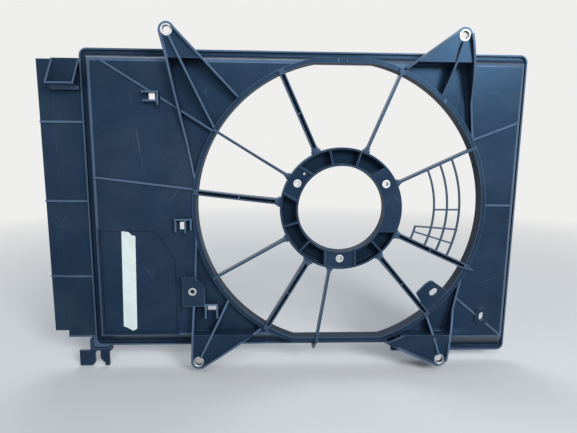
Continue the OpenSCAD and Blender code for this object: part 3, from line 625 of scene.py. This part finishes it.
@dataclass
class MouldingFinisher:
    """Gives the regions of the moulding the small round that a mould leaves on free edges.

    An edge that lies on a neighbouring region is inside the moulding, so it stays sharp. Each
    of the tries says whether flat facets are joined first, whether the rounds shrink where they
    would meet, and the share of the full radius. The first try that gives a sound mesh is kept,
    or else the last.
    """

    nodes: dict
    radius: float = 0.45 * MM
    segments: int = 2
    sharp: float = math.radians(32)
    crisp: float = math.radians(28)
    shortest_in_radii: float = 2.2
    cut_from_corners: int = 5
    weld_gap: float = 0.002 * MM
    sliver: float = 0.005 * MM
    level: float = math.radians(0.6)
    box_margin: float = 1.0 * MM
    area_slack: float = 0.04
    area_growth: float = 0.001
    speck: float = 0.3 * MM * MM
    turned_cosine: float = -0.5
    turned_slack: float = 6.0 * MM * MM
    turned_share: float = 1.5e-4
    tries: tuple = ((True, False, 1.0), (False, False, 1.0), (True, False, 0.67),
                    (False, False, 0.55), (True, False, 0.45), (True, True, 1.0),
                    (False, True, 1.0))
    seat_gap: float = 0.03 * MM
    seat_spots: tuple = (0.15, 0.5, 0.85)
    # These pick the narrow front faces, rib fronts and slim parts, that get a share of painted
    # highlight.
    front_cosine: float = -0.5
    flat_angle: float = math.radians(3)
    rib_width: float = 2.8 * MM
    rib_share: float = 0.75
    slim: tuple = ("strut_", "finger_guard")
    slim_share: float = 0.3
    # These pick the faces that get painted shade: walled cell floors and the rings' bores.
    cell_depth: float = 5.0 * MM
    cell_reach: float = 30.0 * MM
    walled_share: float = 0.6
    probe_lift: float = 1.0 * MM
    rings: tuple = ("opening_ring", "motor_ring")
    bore_cosine: float = -0.8
    bore_share: float = 0.8
    trees: dict = field(default_factory=dict)
    boxes: dict = field(default_factory=dict)

    def __post_init__(self) -> None:
        """Builds one search tree for each node."""
        for name, node in self.nodes.items():
            mesh = node.data
            count = len(mesh.vertices)
            corners = np.empty(count * 3)
            mesh.vertices.foreach_get("co", corners)
            corners = corners.reshape(-1, 3)
            faces = [tuple(p.vertices) for p in mesh.polygons]
            self.trees[name] = BVHTree.FromPolygons(corners.tolist(), faces)
            self.boxes[name] = (corners.min(0) - self.box_margin,
                                corners.max(0) + self.box_margin)

    def near(self, name: str) -> list:
        """The neighbours whose box meets this node's box.

        Args:
            name: the node.

        Returns:
            Their search trees.
        """
        low, high = self.boxes[name]
        return [self.trees[other] for other, (a, b) in self.boxes.items()
                if other != name and np.all(a <= high) and np.all(b >= low)]

    def finish(self, name: str, material: bpy.types.Material) -> bpy.types.Object:
        """Copies a node, rounds its free edges and dresses it.

        Args:
            name: the node.
            material: its finish.

        Returns:
            The finished piece, which stands for the node.
        """
        for merge, clamp, share in self.tries:
            done = self._rounded(name, material, merge, clamp, share * self.radius)
            if self._sound(name, done):
                break
            log.info("%s isn't sound with merge %s, clamp %s, share %s", name, merge, clamp, share)
        self._note_wear(name, done)
        low, high = (Vector(v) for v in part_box(name))
        self._hold_in_box(done, low, high)
        return place_in_scene(name + "_skin", done)

    def _sound(self, name: str, mesh: bpy.types.Mesh) -> bool:
        """Tells whether a rounded mesh still follows its solid.

        Args:
            name: the node.
            mesh: the rounded mesh.

        Returns:
            Whether it has faces of nearly the solid's area, hardly any of them turned over, and
            no corner far off its surface.
        """
        bare = sum(face.area for face in self.nodes[name].data.polygons)
        tree = self.trees[name]
        mesh.calc_loop_triangles()
        area = turned = 0.0
        for facet in mesh.loop_triangles:
            area += facet.area
            if facet.area > self.speck:
                middle = sum((mesh.vertices[i].co for i in facet.vertices), Vector()) / 3
                if tree.find_nearest(middle)[1].dot(facet.normal) < self.turned_cosine:
                    turned += facet.area
        if not 1 - self.area_slack < area / bare < 1 + self.area_growth:
            return False
        if turned > max(self.turned_slack, self.turned_share * bare):
            return False
        return all(tree.find_nearest(v.co, self.radius)[0] is not None for v in mesh.vertices)

    def _rounded(self, name: str, material: bpy.types.Material, merge: bool,
                 clamp: bool, radius: float) -> bpy.types.Mesh:
        """Rounds the free edges of a copy of a node's mesh.

        Args:
            name: the node.
            material: its finish, the first of two slots; the rounds use the second.
            merge: whether flat facets are joined first.
            clamp: whether the rounds shrink where they would meet.
            radius: the rounds' radius.

        Returns:
            The new mesh.
        """
        mesh = self.nodes[name].data.copy()
        mesh.materials.clear()
        mesh.materials.append(material)
        mesh.materials.append(None)
        work = bmesh.new()
        work.from_mesh(mesh)
        bmesh.ops.remove_doubles(work, verts=work.verts, dist=self.weld_gap)
        bmesh.ops.dissolve_degenerate(work, dist=self.sliver, edges=work.edges)
        if merge:
            bmesh.ops.dissolve_limit(work, angle_limit=self.level, verts=work.verts,
                                     edges=work.edges, delimit=set())
        trees = self.near(name)
        layer = work.edges.layers.float.new("bevel_weight_edge")
        for edge in work.edges:
            angle = edge.calc_face_angle(0.0) if len(edge.link_faces) == 2 else math.pi
            rounded = (angle > self.sharp
                       and edge.calc_length() > self.shortest_in_radii * radius
                       and not self._seated(edge, trees))
            edge[layer] = float(rounded)
            edge.smooth = rounded or angle < self.crisp
        for face in work.faces:
            face.smooth = True
        work.to_mesh(mesh)
        work.free()
        piece = place_in_scene(name + "_blank", mesh)
        round_edges = piece.modifiers.new("mould_round", "BEVEL")
        round_edges.limit_method = "WEIGHT"
        round_edges.width = radius
        round_edges.segments = self.segments
        round_edges.use_clamp_overlap = clamp
        round_edges.miter_outer = "MITER_ARC"
        round_edges.material = ROUND_SLOT
        round_edges.face_strength_mode = "FSTR_ALL"
        cut = piece.modifiers.new("short_facets", "TRIANGULATE")
        cut.min_vertices = self.cut_from_corners
        cut.ngon_method = "BEAUTY"
        even = piece.modifiers.new("even_shading", "WEIGHTED_NORMAL")
        even.keep_sharp = True
        even.use_face_influence = True
        bpy.context.view_layer.update()
        graph = bpy.context.evaluated_depsgraph_get()
        done = bpy.data.meshes.new_from_object(piece.evaluated_get(graph))
        done.name = name + "_skin"
        bpy.data.objects.remove(piece)
        bpy.data.meshes.remove(mesh)
        return done

    def _seated(self, edge: bmesh.types.BMEdge, trees: list) -> bool:
        """Tells whether an edge lies on a neighbouring region.

        Args:
            edge: the edge.
            trees: the neighbours' search trees.

        Returns:
            Whether three points along it all touch one neighbour.
        """
        a, b = edge.verts[0].co, edge.verts[1].co
        spots = [a.lerp(b, share) for share in self.seat_spots]
        return any(all(tree.find_nearest(spot, self.seat_gap)[0] is not None for spot in spots)
                   for tree in trees)

    def _flat_regions(self, work: bmesh.types.BMesh) -> list:
        """Groups the faces that look to the front into flat regions.

        Args:
            work: the mesh.

        Returns:
            For each region its faces and the length of its border.
        """
        regions = []
        seen = [face.material_index == ROUND_SLOT or face.normal.y > self.front_cosine
                for face in work.faces]
        for first in work.faces:
            if seen[first.index]:
                continue
            region, border, queue = [], 0.0, [first]
            seen[first.index] = True
            while queue:
                face = queue.pop()
                region.append(face)
                for edge in face.edges:
                    level = [other for other in edge.link_faces if other is not face
                             and other.normal.angle(face.normal, 1.0) < self.flat_angle]
                    border += 0.0 if level else edge.calc_length()
                    for other in level:
                        if not seen[other.index]:
                            seen[other.index] = True
                            queue.append(other)
            regions.append((region, border))
        return regions

    def _walled(self, tree: BVHTree, face: bmesh.types.BMFace) -> bool:
        """Tells whether a face has the moulding's own walls on all four sides.

        Args:
            tree: the moulding's search tree.
            face: the face.

        Returns:
            Whether short rays to the left, right, top and bottom all meet a wall.
        """
        start = face.calc_center_median() + self.probe_lift * face.normal
        sides = (Vector((1, 0, 0)), Vector((-1, 0, 0)), Vector((0, 0, 1)), Vector((0, 0, -1)))
        return all(tree.ray_cast(start, side, self.cell_reach)[0] is not None for side in sides)

    def _note_wear(self, name: str, mesh: bpy.types.Mesh) -> None:
        """Marks wear with painted highlight on rounds and rib edges, and painted shade on cells
        and bores.

        The marks go into two attributes. A flat region's width is twice its area over the length
        of
        its border: a narrow one is the front edge of a rib. A cell's floor is walled in over most
        of its area. The bores of the two rings look towards the fan's axis. Both are darkened
        where shade falls.

        Args:
            name: the node.
            mesh: the mesh, whose rounds use its second slot.
        """
        cells_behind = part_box(name)[0].y + self.cell_depth
        rib_share = self.slim_share if name.startswith(self.slim) else self.rib_share
        work = bmesh.new()
        work.from_mesh(mesh)
        work.faces.ensure_lookup_table()
        tree = BVHTree.FromBMesh(work)
        # Edge wear and painted highlight: the rounds in full, rib fronts and slim parts with a
        # share.
        wear_and_highlight_mask = np.array([face.material_index == ROUND_SLOT for face in work.faces], np.float32)
        # Painted shade mask, set below for walled cell floors and the rings' bores.
        shade_mask = np.zeros(len(work.faces), np.float32)
        for region, border in self._flat_regions(work):
            places = [face.index for face in region]
            area = sum(face.calc_area() for face in region)
            walled = 0.0
            if region[0].calc_center_median().y > cells_behind:
                walled = sum(face.calc_area() for face in region if self._walled(tree, face))
            if walled > self.walled_share * area:
                shade_mask[places] = 1.0
            elif 2 * area < self.rib_width * border:
                wear_and_highlight_mask[places] = rib_share
        # The rings' bores get painted shade.
        if name in self.rings:
            for face in work.faces:
                middle = face.calc_center_median()
                outwards = Vector((middle.x, 0, middle.z)).normalized()
                if face.normal.dot(outwards) < self.bore_cosine:
                    shade_mask[face.index] = self.bore_share
        work.free()
        for label, values in ((EDGE_WEAR_AND_HIGHLIGHT, wear_and_highlight_mask), (PAINTED_SHADE, shade_mask)):
            mesh.attributes.new(label, "FLOAT", "FACE").data.foreach_set("value", values)
        mesh.polygons.foreach_set("material_index", np.zeros(len(wear_and_highlight_mask), np.int32))
        mesh.materials.pop(index=ROUND_SLOT)

    @staticmethod
    def _hold_in_box(mesh: bpy.types.Mesh, low: Vector, high: Vector) -> None:
        """Keeps every vertex inside the node's own box.

        Args:
            mesh: the mesh to hold.
            low: lowest corner.
            high: highest corner.
        """
        count = len(mesh.vertices)
        flat = np.empty(count * 3, np.float32)
        mesh.vertices.foreach_get("co", flat)
        held = np.clip(flat.reshape(-1, 3), np.array(low), np.array(high))
        mesh.vertices.foreach_set("co", held.astype(np.float32).ravel())
        mesh.update()


@dataclass
class Cowl:
    """The black moulding: panel, ring, struts, ears, guard, baffle, brackets and clips."""

    nodes: dict
    regions: list
    finish: MouldedPlastic = MouldedPlastic()

    def build(self, effects: Effects) -> list:
        """Builds a finished skin for each region.

        Args:
            effects: the shared node groups.

        Returns:
            The skins.
        """
        material = self.finish.build(effects)
        finisher = MouldingFinisher(self.nodes)
        made = []
        for name in self.regions:
            piece = finisher.finish(name, material)
            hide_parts(name)
            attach(piece, "root")
            made.append(piece)
        return made


@dataclass
class SteelRing:
    """A turned sleeve or insert: a closed profile swept round its own axis, which runs along Y."""

    node: str
    slot: Part
    chamfer: float = 0.5 * MM
    groove: float = 0.0
    steps: int = 96
    crease: float = math.radians(40)

    def build(self, effects: Effects) -> bpy.types.Object:
        """Builds the ring from its node's box and bore.

        The surface is P(u, v) = centre + r(u) (cos v, 0, sin v) + y(u) (0, 1, 0), with u round
        the section and v round the axis. The section's corners are stepped off in chamfers c.

        Args:
            effects: the shared node groups.

        Returns:
            The finished ring.
        """
        low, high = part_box(self.node)
        centre = (low + high) / 2
        outer = (high.x - low.x) / 2
        corners = np.array([tuple(v.co) for v in bpy.data.objects[self.node].data.vertices])
        inner = float(np.hypot(corners[:, 0] - centre.x, corners[:, 2] - centre.z).min())
        front, back, c = low.y, high.y, self.chamfer
        section = [
            (inner, front + 1.4 * c), (inner + 0.3 * c, front + 0.5 * c),
            (inner + c, front + 0.06 * c), (inner + 1.3 * c, front),
            (outer - 1.2 * c, front), (outer - 0.6 * c, front + 0.08 * c),
            (outer - 0.18 * c, front + 0.45 * c), (outer, front + 1.1 * c),
            (outer, back - c), (outer - c, back), (inner + c, back), (inner, back - c)]
        if self.groove:
            middle = (inner + outer) / 2
            section[4:4] = [
                (middle - 2 * self.groove, front), (middle - self.groove, front + self.groove),
                (middle + self.groove, front + self.groove), (middle + 2 * self.groove, front)]
        profile = np.array(section)
        turn = np.linspace(0, 2 * math.pi, self.steps, endpoint=False)
        points = np.empty((len(profile), self.steps, 3))
        points[..., 0] = centre.x + profile[:, :1] * np.cos(turn)
        points[..., 1] = profile[:, 1:]
        points[..., 2] = centre.z + profile[:, :1] * np.sin(turn)
        mesh = surface_mesh(self.node + "_turned", points)
        steel = TurnedSteel(self.node + "_steel", tuple(centre))
        mesh.materials.append(steel.build(effects))
        mesh.shade_smooth()
        piece = place_in_scene(self.node + "_turned", mesh)
        outward(piece, self.crease)
        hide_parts(self.node)
        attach(piece, "root")
        return piece


def outward(piece: bpy.types.Object, crease: float) -> None:
    """Turns every face of a closed piece outwards and keeps its creases crisp.

    Args:
        piece: the piece.
        crease: the smallest angle between faces that stays crisp.
    """
    work = bmesh.new()
    work.from_mesh(piece.data)
    bmesh.ops.recalc_face_normals(work, faces=work.faces)
    for edge in work.edges:
        edge.smooth = edge.calc_face_angle(0.0) < crease
    work.to_mesh(piece.data)
    work.free()


@dataclass
class Tape:
    """The strip of paper tape on the sunk field, left bare."""

    finish: PaperTape = PaperTape()

    def build(self, effects: Effects, node: bpy.types.Object) -> bpy.types.Object:
        """Dresses the tape's own solid.

        Args:
            effects: the shared node groups.
            node: the CAD node.

        Returns:
            The node.
        """
        node.data.materials.clear()
        node.data.materials.append(self.finish.build(effects))
        return node


# Studio


@dataclass(frozen=True)
class Lamp:
    """A soft round area lamp that looks at the middle of the motor ring."""

    name: str
    place: tuple
    width: float
    power: float
    colour: tuple

    def build(self) -> None:
        """Puts the lamp into the scene."""
        data = bpy.data.lights.new(self.name, "AREA")
        data.shape = "DISK"
        data.size = self.width
        data.energy = self.power
        data.color = self.colour
        lamp = bpy.data.objects.new(self.name, data)
        bpy.context.scene.collection.objects.link(lamp)
        lamp.location = self.place
        lamp.rotation_mode = "QUATERNION"
        lamp.rotation_quaternion = (-Vector(self.place)).to_track_quat("-Z", "Y")


@dataclass
class Studio:
    """Pale floor and world, soft lamps and the camera at the photograph's angle."""

    pale: tuple = (0.86, 0.86, 0.85, 1.0)
    sky: tuple = (0.86, 0.92, 1.0, 1.0)
    sky_strength: float = 0.40
    floor_tone: tuple = (0.60, 0.60, 0.60, 1.0)
    floor_rough: float = 0.9
    floor_gloss: float = 0.1
    floor_reach: float = 12.0
    floor_z: float = -0.2105
    fade_from: float = 0.45
    fade_to: float = 1.6
    lamps: tuple = (
        Lamp("key", (0.84, -1.6, 0.76), 0.7, 38.0, (0.95, 0.98, 1.0)),
        Lamp("fill", (-0.12, -1.45, 0.95), 0.8, 12.0, (0.92, 0.96, 1.0)),
        Lamp("rim", (-0.3, 0.9, 0.9), 1.0, 7.0, (0.82, 0.91, 1.0)))
    camera_at: tuple = (-88.3 * MM, -548.7 * MM, 79.9 * MM)
    focal_px: float = 460.0
    width_px: float = 577.0
    sensor_mm: float = 36.0
    turn_deg: tuple = (9.17, -2.5, 0.12)
    near_limit: float = 0.01
    far_limit: float = 60.0

    def build(self) -> None:
        """Builds the whole stage."""
        self._world()
        self._floor()
        for lamp in self.lamps:
            lamp.build()
        self._camera()
        scene = bpy.context.scene
        scene.view_settings.view_transform = "Standard"

    def _world(self) -> None:
        """A pale world that is seen and mirrored as it is, and lights softly."""
        world = bpy.data.worlds.new("pale_room")
        bpy.context.scene.world = world
        world.use_nodes = True
        sheet = Sheet(world.node_tree)
        world.node_tree.nodes.clear()
        path = sheet.node("LightPath")
        mirrored = sheet.math("MAXIMUM", path.outputs["Is Glossy Ray"],
                              path.outputs["Is Transmission Ray"])
        shown = sheet.math("MAXIMUM", path.outputs["Is Camera Ray"], mirrored)
        seen = sheet.node("Background", Color=self.pale, Strength=1.0)
        soft = sheet.node("Background", Color=self.sky, Strength=self.sky_strength)
        mixed = sheet.node("MixShader")
        sheet.put(shown, mixed.inputs[0])
        sheet.put(soft.outputs[0], mixed.inputs[1])
        sheet.put(seen.outputs[0], mixed.inputs[2])
        end = sheet.tree.nodes.new("ShaderNodeOutputWorld")
        sheet.put(mixed.outputs[0], end.inputs["Surface"])

    def _floor(self) -> None:
        """A wide floor whose far part fades to the world's pale tone."""
        r, z = self.floor_reach, self.floor_z
        mesh = bpy.data.meshes.new("floor")
        mesh.from_pydata([(-r, -r, z), (r, -r, z), (r, r, z), (-r, r, z)], [], [(0, 1, 2, 3)])
        floor = place_in_scene("floor", mesh)
        material, sheet, shader = new_material("pale_floor")
        shader.inputs["Base Color"].default_value = self.floor_tone
        shader.inputs["Roughness"].default_value = self.floor_rough
        shader.inputs["Specular IOR Level"].default_value = self.floor_gloss
        where = sheet.node("TexCoord").outputs["Object"]
        far = sheet.node("VectorMath", operation="LENGTH")
        sheet.put(where, far.inputs[0])
        fade = sheet.ramp(far.outputs["Value"], self.fade_from, self.fade_to)
        glow = sheet.node("Emission", Color=self.pale, Strength=1.0)
        mixed = sheet.node("MixShader")
        sheet.put(fade, mixed.inputs[0])
        sheet.put(shader.outputs[0], mixed.inputs[1])
        sheet.put(glow.outputs[0], mixed.inputs[2])
        end = material.node_tree.nodes["Material Output"]
        sheet.put(mixed.outputs[0], end.inputs["Surface"])
        mesh.materials.append(material)

    def _camera(self) -> None:
        """The camera that was solved from the photograph."""
        a, b, c = (math.radians(v) for v in self.turn_deg)
        turn = (Matrix.Rotation(c, 3, "Z") @ Matrix.Rotation(b, 3, "Y")
                @ Matrix.Rotation(a, 3, "X"))
        square_on = Matrix(((1, 0, 0), (0, 0, -1), (0, 1, 0)))
        rows = turn @ square_on
        axes = Matrix((rows[0], -rows[1], -rows[2])).transposed()
        data = bpy.data.cameras.new("photo_camera")
        data.sensor_width = self.sensor_mm
        data.lens = self.focal_px / self.width_px * self.sensor_mm
        data.clip_start = self.near_limit
        data.clip_end = self.far_limit
        camera = bpy.data.objects.new("photo_camera", data)
        bpy.context.scene.collection.objects.link(camera)
        camera.matrix_world = Matrix.Translation(self.camera_at) @ axes.to_4x4()
        bpy.context.scene.camera = camera


# Main


def main() -> None:
    """Builds the whole scene."""
    logging.basicConfig(level=logging.INFO, format="%(name)s: %(message)s")
    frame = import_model()
    nodes = frame["nodes"]
    effects = Effects()
    sleeves = [name for name in nodes if name.startswith("sleeve_")]
    inserts = [name for name in nodes if "insert" in name]
    metal_and_tape = (*sleeves, *inserts, TAPE_NODE)
    regions = [name for name in nodes if name not in metal_and_tape]
    for piece in Cowl(nodes, regions).build(effects):
        log.info("moulding region %s, %d faces", piece.name, len(piece.data.polygons))
    for name in sleeves:
        sleeve = SteelRing(name, Part.SLEEVE, groove=SLEEVE_GROOVE).build(effects)
        log.info("sleeve %s", sleeve.name)
    for name in inserts:
        insert = SteelRing(name, Part.INSERT, chamfer=INSERT_CHAMFER).build(effects)
        log.info("insert %s", insert.name)
    log.info("tape %s", Tape().build(effects, nodes[TAPE_NODE]).name)
    Studio().build()


if __name__ == "__main__":
    main()
